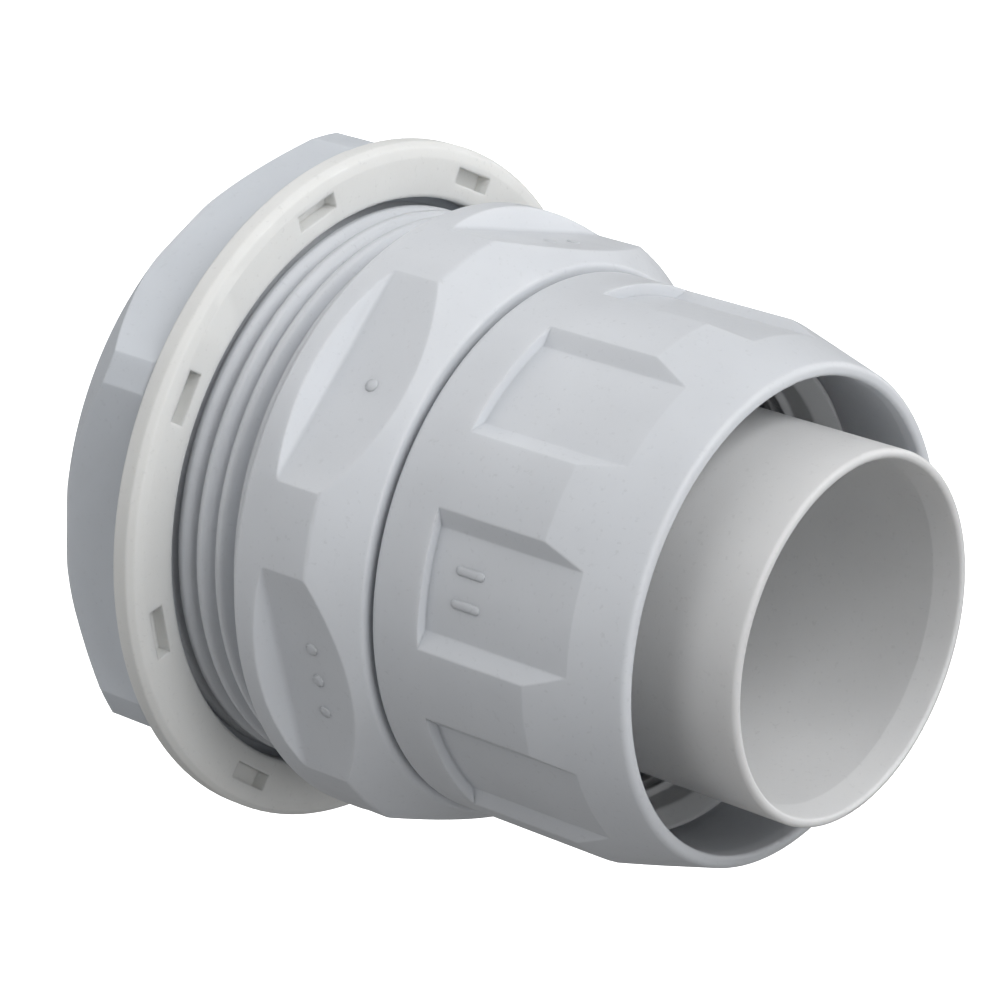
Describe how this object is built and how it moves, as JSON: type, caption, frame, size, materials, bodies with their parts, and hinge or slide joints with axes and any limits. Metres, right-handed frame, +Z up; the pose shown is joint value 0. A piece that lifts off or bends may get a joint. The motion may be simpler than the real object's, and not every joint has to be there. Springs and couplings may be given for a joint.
{
  "type": "cable gland",
  "caption": "Straight gland that joins flexible conduit to a panel: threaded body with hex collar, locknut with seal washer, and compression nut round a spigot.",
  "frame": {"origin": "on the gland's axis, in the plane of the collar face that seats on the panel", "axes": "+X along the axis towards the conduit, +Z up, -X into the enclosure"},
  "size_m": [0.0476, 0.0454, 0.0454],
  "materials": {
    "body_grey": "satin moulded polyamide, light grey",
    "spigot_grey": "satin moulded polyamide, light grey",
    "nut_grey": "satin moulded polyamide, light grey",
    "locknut_grey": "satin moulded polyamide, light grey",
    "washer_ivory": "soft moulded polyethylene, ivory",
    "clamp_plastic": "moulded acetal, pale grey",
    "seal_rubber": "black elastomer"
  },
  "bodies": {
    "body": {"gland_body": "body_grey", "spigot_insert": "spigot_grey", "conduit_seal": "seal_rubber"},
    "washer": {"seal_washer": "washer_ivory"},
    "locknut": {"locknut": "locknut_grey"},
    "clamp": {"clamp_ring": "clamp_plastic"},
    "nut": {"compression_nut": "nut_grey"}
  },
  "joints": [
    {"name": "locknut_travel", "type": "slide", "parent": "body", "child": "washer", "axis": [1, 0, 0], "range_m": [-0.0032, 0.0056]},
    {"name": "locknut_spin", "type": "hinge", "parent": "washer", "child": "locknut", "pos_m": [0, 0, 0], "axis": [1, 0, 0], "range_deg": [-720, 1260]},
    {"name": "clamp_travel", "type": "slide", "parent": "body", "child": "clamp", "axis": [1, 0, 0], "range_m": [-0.00031, 0.00302]},
    {"name": "nut_spin", "type": "hinge", "parent": "clamp", "child": "nut", "pos_m": [0, 0, 0], "axis": [1, 0, 0], "range_deg": [-54, 540]}
  ],
  "couplings": [
    {"joint": "locknut_travel", "follows": "locknut_spin", "m_per_rad": 0.00025266},
    {"joint": "clamp_travel", "follows": "nut_spin", "m_per_rad": 0.00031831}
  ]
}
